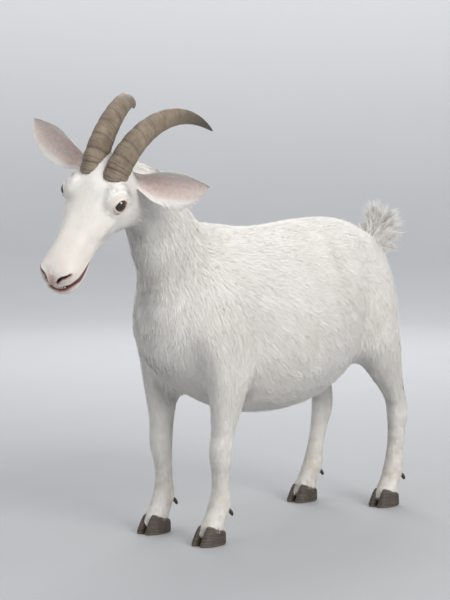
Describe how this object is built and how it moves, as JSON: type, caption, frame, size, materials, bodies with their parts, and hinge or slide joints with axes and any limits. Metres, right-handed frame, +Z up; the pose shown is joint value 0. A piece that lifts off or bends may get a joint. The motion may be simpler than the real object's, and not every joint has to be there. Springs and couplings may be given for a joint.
{
  "type": "dwarf goat",
  "caption": "Life-size still model of a white dwarf-type goat, standing, with ridged swept-back horns, ears out sideways, a raised bushy tail, its mouth a little open and its head turned to its left.",
  "frame": {"origin": "on the floor, in the middle of the goat's outer box", "axes": "+Z up; -Y is the way the goat faces; +X is the goat's own left"},
  "size_m": [0.2788, 0.908, 0.7623],
  "materials": {
    "coat": "short matt hair",
    "eye": "wet gloss",
    "horn": "ridged, satin",
    "hoof": "worn, matt"
  },
  "bodies": {
    "root": {"head": "coat", "neck": "coat", "trunk": "coat", "tail": "coat", "ear_left": "coat", "ear_right": "coat", "foreleg_left": "coat", "foreleg_right": "coat", "hindleg_left": "coat", "hindleg_right": "coat", "eye_left": "eye", "eye_right": "eye", "horn_left": "horn", "horn_right": "horn", "claw_foreleg_left_outer": "hoof", "claw_foreleg_left_inner": "hoof", "claw_foreleg_right_outer": "hoof", "claw_foreleg_right_inner": "hoof", "claw_hindleg_left_outer": "hoof", "claw_hindleg_left_inner": "hoof", "claw_hindleg_right_outer": "hoof", "claw_hindleg_right_inner": "hoof", "dewclaw_foreleg_left_outer": "hoof", "dewclaw_foreleg_left_inner": "hoof", "dewclaw_foreleg_right_outer": "hoof", "dewclaw_foreleg_right_inner": "hoof", "dewclaw_hindleg_left_outer": "hoof", "dewclaw_hindleg_left_inner": "hoof", "dewclaw_hindleg_right_outer": "hoof", "dewclaw_hindleg_right_inner": "hoof"}
  },
  "joints": []
}
